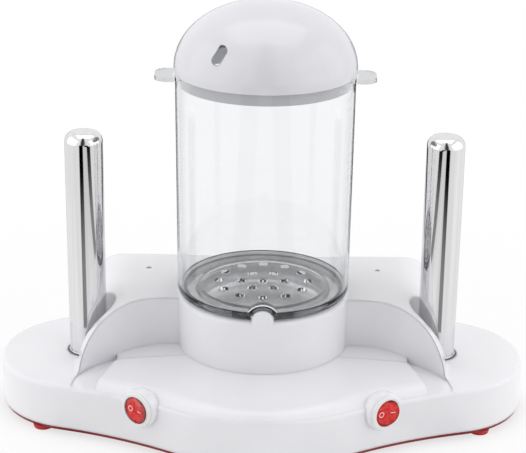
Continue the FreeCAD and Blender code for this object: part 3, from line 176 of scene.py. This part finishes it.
FLOW_SCALE = 18
FLOW_SHADE = 0.96
FLOW_LOW = 0.35
GRAIN_SCALE = 900
GRAIN_DEPTH = 0.0002
GRAIN_UNEVEN = 0.15
PLASTIC_IOR = 1.5
SHELL_COAT_ROUGH = 0.08


def moulded(name, colour, rough, grain=0.02, edge=0.0, coat=0.0):
    """Moulded plastic: faint flow in the colour, fine grain and softened edges."""
    mat, shader, add = new_material(name)
    flow = noise(add, FLOW_SCALE)
    fine = noise(add, GRAIN_SCALE)
    set_inputs(
        shader,
        Base_Color=mottled(add, flow, colour, FLOW_SHADE, FLOW_LOW),
        Roughness=uneven(add, fine, rough, GRAIN_UNEVEN),
        Normal=relief(add, fine, grain, GRAIN_DEPTH, edge),
        Coat_Weight=coat,
        Coat_Roughness=SHELL_COAT_ROUGH,
        IOR=PLASTIC_IOR,
    )
    return mat


STREAK_SCALE = 400
STREAK_DETAIL = 4
STREAK_SHADE = 0.86
STREAK_LOW = 0.3
STREAK_UNEVEN = 0.3
STREAK_STRENGTH = 0.06
STREAK_DEPTH = 0.0001


def metal(name, colour, rough, along=(1, 1, 1), edge=0.0):
    """Worked metal: streaks along the way it was drawn, rolled or turned."""
    mat, shader, add = new_material(name)
    streak = noise(add, STREAK_SCALE, STREAK_DETAIL, along)
    set_inputs(
        shader,
        Base_Color=mottled(add, streak, colour, STREAK_SHADE, STREAK_LOW),
        Roughness=uneven(add, streak, rough, STREAK_UNEVEN),
        Normal=relief(add, streak, STREAK_STRENGTH, STREAK_DEPTH, edge),
        Metallic=1.0,
    )
    return mat


RUBBER_SCALE = 500
RUBBER_SHADE = 0.8
RUBBER_LOW = 0.3
RUBBER_STRENGTH = 0.15
RUBBER_DEPTH = 0.0002
RUBBER_SHEEN = 0.1


def silicone(name, colour, rough):
    """Soft rubber: matt, with fine mottling."""
    mat, shader, add = new_material(name)
    fine = noise(add, RUBBER_SCALE)
    set_inputs(
        shader,
        Base_Color=mottled(add, fine, colour, RUBBER_SHADE, RUBBER_LOW),
        Normal=relief(add, fine, RUBBER_STRENGTH, RUBBER_DEPTH),
        Roughness=rough,
        Sheen_Weight=RUBBER_SHEEN,
    )
    return mat


RIPPLE_SCALE = 30
RIPPLE_DETAIL = 1
RIPPLE_STRENGTH = 0.02
RIPPLE_DEPTH = 0.0005
HAZE_SCALE = 200
HAZE_UNEVEN = 0.5
TINT_SCALE = 12
TINT_SHADE = 0.99
TINT_LOW = 0.3
CLEAR_IOR = 1.45
CLEAR_ROUGH = 0.01
SLANT_BLEND = 0.5
RING_SOFT = 0.0010
KEY_SHADE_FROM = math.radians(20)
KEY_SHADE_TO = math.radians(23)


def painted_key_shade(add, arm, ring_share, key_shade):
    """Painted shade in the ring beside the key, at the front, for the dark the thick base
    reflects there; none elsewhere.
    """
    spot = add("ShaderNodeSeparateXYZ", Vector=arm).outputs
    front = calculate(add, "MULTIPLY", spot["Y"], -1.0)
    turn = calculate(add, "ARCTAN2", calculate(add, "ABSOLUTE", spot["X"]), front)
    past = spread(add, turn, From_Min=KEY_SHADE_FROM, From_Max=KEY_SHADE_TO)
    inside = calculate(add, "SUBTRACT", 1.0, ring_share)
    plain = calculate(add, "MAXIMUM", past, inside)
    return ramp(add, plain, (0.0, key_shade), (1.0, UNTINTED))


def clear(name, rim, rim_from, ring, ring_from, key_shade=None):
    """Clear moulded plastic with a faint ripple; rim is its tint seen edge-on.

    Past ring_from from the container's axis the plastic is thicker and takes the ring's tint,
    which on the tabs is their own grey and on the base is painted shade; beside the key it also
    takes a second painted shade, where one is given.
    """
    mat, shader, add = new_material(name)
    base = mottled(add, noise(add, TINT_SCALE), CLEAR, TINT_SHADE, TINT_LOW)
    slant = add("ShaderNodeLayerWeight", Blend=SLANT_BLEND).outputs["Facing"]
    edge = ramp(add, slant, (rim_from, UNTINTED), (1.0, rim))
    low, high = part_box("container")
    axis = ((low[0] + high[0]) / 2, (low[1] + high[1]) / 2, 0)
    arm = vector_step(add, "SUBTRACT", object_space(add), axis)
    away = length(add, vector_step(add, "MULTIPLY", arm, (1, 1, 0)))
    ring_share = spread(add, away, From_Min=ring_from, From_Max=ring_from + RING_SOFT)
    tints = [edge, ramp(add, ring_share, (0.0, UNTINTED), (1.0, ring))]
    if key_shade:
        tints.append(painted_key_shade(add, arm, ring_share, key_shade))
    ripple = noise(add, RIPPLE_SCALE, RIPPLE_DETAIL)
    set_inputs(
        shader,
        Base_Color=multiply(add, base, *tints),
        Roughness=uneven(add, noise(add, HAZE_SCALE), CLEAR_ROUGH, HAZE_UNEVEN),
        Normal=relief(add, ripple, RIPPLE_STRENGTH, RIPPLE_DEPTH),
        IOR=CLEAR_IOR,
        Transmission_Weight=1.0,
    )
    return mat


RED_DEEP = (0.72, 0.008, 0.010)
RED_BRIGHT = (1.0, 0.07, 0.06)
FACETS_PER_METRE = 420
FACET_STRENGTH = 0.25
FACET_DEPTH = 0.0002
LENS_INNER = 0.0072
LENS_OUTER = 0.0092
# painted shade at the rocker's round edge, where it meets its bezel
LENS_EDGE_SHADE = (0.28, 0.12, 0.14)
LENS_HAZE_SCALE = 400
LENS_SMOOTH = 0.08
LENS_ROUGH = 0.2
LENS_TRANSMISSION = 0.2
LENS_COAT = 0.6
LENS_COAT_ROUGH = 0.03


def lens_red(name, centre, axis):
    """A rocker's translucent red: small facets inside, with painted shade darkening it towards
    its round edge.
    """
    mat, shader, add = new_material(name)
    where = object_space(add)
    facets = add("ShaderNodeTexVoronoi", Vector=where, Scale=FACETS_PER_METRE).outputs
    tone = add("ShaderNodeSeparateColor", Color=facets["Color"]).outputs["Red"]
    body = ramp(add, tone, (0.0, RED_DEEP), (1.0, RED_BRIGHT))
    arm = vector_step(add, "SUBTRACT", where, centre)
    away = length(add, vector_step(add, "CROSS_PRODUCT", arm, axis))
    edge_shade_share = spread(add, away, From_Min=LENS_INNER, From_Max=LENS_OUTER)
    edge_shade = ramp(add, edge_shade_share, (0.0, UNTINTED), (1.0, LENS_EDGE_SHADE))
    haze = noise(add, LENS_HAZE_SCALE)
    set_inputs(
        shader,
        Base_Color=multiply(add, body, edge_shade),
        Roughness=spread(add, haze, To_Min=LENS_SMOOTH, To_Max=LENS_ROUGH),
        Normal=relief(add, facets["Distance"], FACET_STRENGTH, FACET_DEPTH),
        IOR=PLASTIC_IOR,
        Transmission_Weight=LENS_TRANSMISSION,
        Coat_Weight=LENS_COAT,
        Coat_Roughness=LENS_COAT_ROUGH,
    )
    return mat


WHITE = (0.85, 0.85, 0.88)
# the lid is the shell's plastic; its darker white is painted shade
LID_PAINTED_SHADE_WHITE = (0.70, 0.70, 0.74)
CLEAR = (0.96, 0.965, 0.97)
WALL_RIM = (0.55, 0.57, 0.60)
TAB_TINT = (0.70, 0.71, 0.73)
TABS_FROM = 0.0612
BASE_RIM = (0.20, 0.21, 0.23)
# painted shade on the base's thick ring, for the dark it reflects
BASE_RING_PAINTED_SHADE = (0.36, 0.37, 0.39)
BASE_RING_FROM = 0.0565
# painted shade on the base's ring beside the key, for the dark it reflects there
KEY_PAINTED_SHADE = (0.06, 0.06, 0.07)
LOOKS = {
    "upper_housing": moulded("white_shell", WHITE, 0.24, edge=0.003, coat=0.25),
    # the lid's darker white is painted shade
    "lid": moulded("white_lid_painted_shade", LID_PAINTED_SHADE_WHITE, 0.20, edge=0.0008, coat=0.25),
    "switch_body": moulded("white_switch", (0.82, 0.82, 0.82), 0.3, edge=0.0004),
    # the plate is red, darkened by painted shade for the shadow in the gap under the housing
    "bottom_plate": moulded("red_plate_painted_shade", (0.26, 0.014, 0.018), 0.4, edge=0.0006),
    "feet": silicone("red_foot", (0.55, 0.014, 0.014), 0.6),
    "container": clear("clear_container", WALL_RIM, 0.55, TAB_TINT, TABS_FROM),
    "container_floor": clear(
        "clear_base", BASE_RIM, 0.35, BASE_RING_PAINTED_SHADE, BASE_RING_FROM, KEY_PAINTED_SHADE
    ),
    "spike": metal("drawn_steel", (0.80, 0.80, 0.81), 0.06, along=(1, 1, 0.02), edge=0.0003),
    "spike_bush": moulded("dark_bush", (0.12, 0.12, 0.125), 0.45, edge=0.0004),
    "heating_dish": metal("spun_steel", (0.74, 0.74, 0.75), 0.22, along=(0.2, 1, 1)),
    "steel": metal("plated_steel", (0.62, 0.62, 0.63), 0.35),
    "aluminium": metal("cast_aluminium", (0.72, 0.72, 0.74), 0.4),
    "heater": metal("heater_sheath", (0.30, 0.28, 0.26), 0.5),
    "brass": metal("brass", (0.78, 0.58, 0.25), 0.3),
    "dish_seal": silicone("grey_silicone", (0.62, 0.62, 0.60), 0.5),
    "cord_grommet": silicone("black_rubber", (0.025, 0.025, 0.025), 0.6),
    "terminal_block": moulded("ivory_block", (0.72, 0.68, 0.58), 0.5),
    "ceramic": moulded("ceramic_core", (0.78, 0.74, 0.66), 0.7, grain=0.1),
}
KIND_OF = {
    "key_hood": "container_floor",
    "plate_screws": "steel",
    "holder_screws": "steel",
    "dish_bridge": "steel",
    "dish_nut": "steel",
    "spike_holder": "steel",
    "heat_spreader": "aluminium",
    "thermostat": "aluminium",
    "dish_heater": "heater",
    "switch_terminals": "brass",
    "spike_heater": "ceramic",
}
SWITCH_TURN = math.radians(36)
SIDES = ((1, "right"), (-1, "left"))


def flank_out(side):
    """The way a switch faces, square to its flank."""
    return Vector((side * math.sin(SWITCH_TURN), -math.cos(SWITCH_TURN), 0))


def dress():
    """Gives each node the look of its own name, or of its name without the side word."""
    for side, word in SIDES:
        pivot = JOINTS[f"rocker_{word}_turn"]["pos_m"]
        LOOKS[f"rocker_{word}"] = lens_red(f"red_rocker_{word}", pivot, flank_out(side))
    for name, thing in NODES.items():
        kind = name.removesuffix("_left").removesuffix("_right")
        look = LOOKS.get(name) or LOOKS[KIND_OF.get(kind, kind)]
        thing.data.materials.clear()
        thing.data.materials.append(look)


dress()

# ---------------------------------------------------------------- rocker marks

ROCKER_TILT = math.radians(9)
PAD_SLOPE = math.radians(6)
PAD_MIDDLE = 0.0013
MARK_REACH = 0.0043
MARK_HALF = 0.00035
MARK_RAISED = 0.00012
RING_RADIUS = 0.0017
RING_POINTS = 40
DASH_HALF = 0.0017
DASH_PLACES = (-1, -0.9, 0.9, 1)
SECTION = 8
PRINT = moulded("pale_print", (0.95, 0.62, 0.60), 0.4)


def rocker_frame(side, joint):
    """The rocker's own axes at rest: x to the viewer's right, y up, z out of the flank."""
    across = Vector((math.cos(SWITCH_TURN), side * math.sin(SWITCH_TURN), 0))
    axes = Matrix((across, Vector((0, 0, 1)), flank_out(side))).transposed().to_4x4()
    tilt = Matrix.Rotation(-ROCKER_TILT, 4, "Y")
    return Matrix.Translation(Vector(joint["pos_m"])) @ axes @ tilt


def pad_frame(hand):
    """The pad on one hand of the rocker, at the place of its mark."""
    slope = Matrix.Rotation(-hand * PAD_SLOPE, 4, "Y")
    middle = Matrix.Translation((0, 0, PAD_MIDDLE))
    return middle @ slope @ Matrix.Translation((hand * MARK_REACH, 0, 0))


def stroke(points, closed):
    """A low rounded bead along a line in the pad's plane."""
    mesh = bmesh.new()
    rings = []
    count = len(points)
    for index, point in enumerate(points):
        before = points[(index - 1) % count] if closed else points[max(index - 1, 0)]
        after = points[(index + 1) % count] if closed else points[min(index + 1, count - 1)]
        along = (after - before).normalized()
        side = Vector((-along.y, along.x, 0))
        ring = []
        for step in range(SECTION):
            turn = math.tau * step / SECTION
            spot = point + side * MARK_HALF * math.cos(turn)
            ring.append(mesh.verts.new(spot + Vector((0, 0, MARK_RAISED * math.sin(turn)))))
        rings.append(ring)
    spans = zip(rings, rings[1:] + rings[:1]) if closed else zip(rings, rings[1:])
    for one, two in spans:
        for step in range(SECTION):
            after = (step + 1) % SECTION
            mesh.faces.new((one[step], one[after], two[after], two[step]))
    if not closed:
        mesh.faces.new(rings[0])
        mesh.faces.new(rings[-1][::-1])
    bmesh.ops.recalc_face_normals(mesh, faces=mesh.faces)
    return mesh


def new_object(name, mesh, look):
    """An object in the scene from a mesh under construction, with its material."""
    data = bpy.data.meshes.new(name)
    mesh.to_mesh(data)
    mesh.free()
    thing = bpy.data.objects.new(name, data)
    bpy.context.scene.collection.objects.link(thing)
    data.materials.append(look)
    return thing


def mark(name, mesh, place, body):
    """A raised mark put in its place, smoothed, riding on its body."""
    mesh.transform(place)
    for face in mesh.faces:
        face.smooth = True
    thing = new_object(name, mesh, PRINT)
    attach(thing, body)


def rocker_marks(side, word):
    """The O and the dash on one rocker."""
    joint = JOINTS[f"rocker_{word}_turn"]
    place = rocker_frame(side, joint)
    turns = [math.tau * step / RING_POINTS for step in range(RING_POINTS)]
    loop = [Vector((math.cos(turn), math.sin(turn), 0)) * RING_RADIUS for turn in turns]
    dash = [Vector((share * DASH_HALF, 0, 0)) for share in DASH_PLACES]
    mark(f"ring_mark_{word}", stroke(loop, True), place @ pad_frame(-1), joint["child"])
    mark(f"dash_mark_{word}", stroke(dash, False), place @ pad_frame(1), joint["child"])


for side, word in SIDES:
    rocker_marks(side, word)

# ---------------------------------------------------------------- stage

FLOOR_HALF = 4.0
FLOOR_CORNERS = ((-1, -1), (1, -1), (1, 1), (-1, 1))
FLOOR_COLOUR = (0.9, 0.9, 0.9, 1)
FLOOR_ROUGH = 0.9
FLOOR_SPECULAR = 0.1
SHADOW_NEAR = 0.25
SHADOW_FAR = 0.55
SHADOW_WASH = 0.7
MIRROR_HALF = 60
MIRROR_LEVELS = ((-60, 1.0), (-35, 1.0), (-1, 0.72), (0, 0.0), (21, 0.0), (23, 0.9), (60, 1.0))
PURE_WHITE = (1, 1, 1, 1)


def mirrored_level(add, where):
    """What bright metal shows of the floor: a painted reflection, a dark strip that leads away
    from each spike and is seen only in reflections.

    MIRROR_LEVELS holds the floor's level at each turn, in degrees, about the spike's foot.
    """
    low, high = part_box("spike_right")
    spot = add("ShaderNodeSeparateXYZ", Vector=where).outputs
    outward = calculate(add, "ABSOLUTE", spot["X"])
    aside = calculate(add, "SUBTRACT", outward, (low[0] + high[0]) / 2)
    ahead = calculate(add, "SUBTRACT", spot["Y"], (low[1] + high[1]) / 2)
    turn = calculate(add, "ARCTAN2", aside, calculate(add, "ABSOLUTE", ahead))
    reach = math.radians(MIRROR_HALF)
    levels = add("ShaderNodeValToRGB", Fac=spread(add, turn, From_Min=-reach, From_Max=reach))
    stops = levels.color_ramp.elements
    for _ in MIRROR_LEVELS[2:]:
        stops.new(0.5)
    for stop, (angle, level) in zip(stops, MIRROR_LEVELS):
        stop.position = (angle + MIRROR_HALF) / (2 * MIRROR_HALF)
        stop.color = (level, level, level, 1)
    return levels.outputs["Color"]


def floor_look():
    """White to the eye and through clear plastic; near the object its shadow shows."""
    mat, shader, add = new_material("floor")
    set_inputs(
        shader,
        Base_Color=FLOOR_COLOUR,
        Roughness=FLOOR_ROUGH,
        Specular_IOR_Level=FLOOR_SPECULAR,
    )
    where = object_space(add)
    paths = add("ShaderNodeLightPath").outputs
    glossy, through = paths["Is Glossy Ray"], paths["Is Transmission Ray"]
    followed = calculate(add, "MAXIMUM", glossy, through)
    seen = calculate(add, "MAXIMUM", paths["Is Camera Ray"], followed)
    # for glossy rays the floor gives the painted reflection strip
    mirrored = calculate(add, "SUBTRACT", glossy, through)
    level = spread(add, mirrored, To_Min=1.0, To_Max=mirrored_level(add, where))
    clean = spread(
        add,
        length(add, where),
        smooth=True,
        From_Min=SHADOW_NEAR,
        From_Max=SHADOW_FAR,
        To_Min=SHADOW_WASH,
        To_Max=1.0,
    )
    glow = add("ShaderNodeEmission", Color=PURE_WHITE, Strength=level)
    mix = add("ShaderNodeMixShader", Fac=calculate(add, "MULTIPLY", seen, clean))
    for socket, part in zip(mix.inputs[1:], (shader.outputs["BSDF"], glow.outputs["Emission"])):
        give(socket, part)
    set_inputs(mat.node_tree.nodes["Material Output"], Surface=mix.outputs["Shader"])
    return mat


def lay_floor():
    mesh = bmesh.new()
    corners = [(x * FLOOR_HALF, y * FLOOR_HALF, 0) for x, y in FLOOR_CORNERS]
    mesh.faces.new([mesh.verts.new(corner) for corner in corners])
    thing = new_object("floor", mesh, floor_look())


lay_floor()

SIDE_POWER = 4.2
TOP_POWER = 4.5
# each box: its name, place, aim, size and power
SOFTBOXES = (
    ("left_box", (-1.1, -0.25, 0.55), (0, 0, 0.15), (1.6, 1.3), SIDE_POWER),
    ("right_box", (1.1, -0.25, 0.55), (0, 0, 0.15), (1.6, 1.3), SIDE_POWER),
    ("top_box", (0, 0.25, 1.5), (0, 0, 0.1), (1.4, 1.0), TOP_POWER),
)


def softbox(name, place, aim, size, power):
    light = bpy.data.lights.new(name, "AREA")
    light.shape = "RECTANGLE"
    light.size, light.size_y = size
    light.energy = power
    lamp = bpy.data.objects.new(name, light)
    lamp.location = place
    lamp.rotation_euler = (Vector(aim) - Vector(place)).to_track_quat("-Z", "Y").to_euler()
    bpy.context.scene.collection.objects.link(lamp)


for box in SOFTBOXES:
    softbox(*box)

WORLD_LEVEL = 0.85
GAP_LEVEL = 0.05
GAP_INNER = 0.1
GAP_OUTER = 0.38


def studio():
    """A white room that is darker in one upright band, where the room opens at -Y."""
    world = bpy.data.worlds.new("studio")
    bpy.context.scene.world = world
    world.use_nodes = True
    add = node_adder(world.node_tree)
    toward = add("ShaderNodeTexCoord").outputs["Generated"]
    toward = add("ShaderNodeSeparateXYZ", Vector=toward).outputs
    front = calculate(add, "MULTIPLY", toward["Y"], -1.0)
    aside = calculate(add, "ABSOLUTE", calculate(add, "ARCTAN2", toward["X"], front))
    band = spread(
        add,
        aside,
        smooth=True,
        From_Min=GAP_INNER,
        From_Max=GAP_OUTER,
        To_Min=GAP_LEVEL,
        To_Max=1.0,
    )
    paths = add("ShaderNodeLightPath").outputs
    level = spread(add, paths["Is Glossy Ray"], To_Min=WORLD_LEVEL, To_Max=1.0)
    lit = calculate(add, "MULTIPLY", band, level)
    clear_way = calculate(add, "MAXIMUM", paths["Is Camera Ray"], paths["Is Transmission Ray"])
    set_inputs(
        world.node_tree.nodes["Background"],
        Color=PURE_WHITE,
        Strength=calculate(add, "MAXIMUM", lit, clear_way),
    )


studio()

# ---------------------------------------------------------------- camera

PHOTO_WIDTH = 526
FOCAL_PIXELS = 1700
SENSOR = 36.0
CAMERA_BACK = 1.0705
CAMERA_HIGH = 0.536
CAMERA_ASIDE = -0.0005
PITCH = math.radians(20.5)
ROLL = math.radians(0.73)


def set_camera():
    """The view of the photograph, from the front and a little above."""
    lens = bpy.data.cameras.new("camera")
    lens.sensor_width = SENSOR
    lens.lens = FOCAL_PIXELS / PHOTO_WIDTH * SENSOR
    camera = bpy.data.objects.new("camera", lens)
    bpy.context.scene.collection.objects.link(camera)
    tilt = Matrix.Rotation(math.pi / 2 - PITCH, 4, "X")
    roll = Matrix.Rotation(ROLL, 4, "Z")
    place = Matrix.Translation((CAMERA_ASIDE, -CAMERA_BACK, CAMERA_HIGH))
    camera.matrix_world = place @ tilt @ roll
    bpy.context.scene.camera = camera


set_camera()
bpy.context.scene.view_settings.view_transform = "Standard"
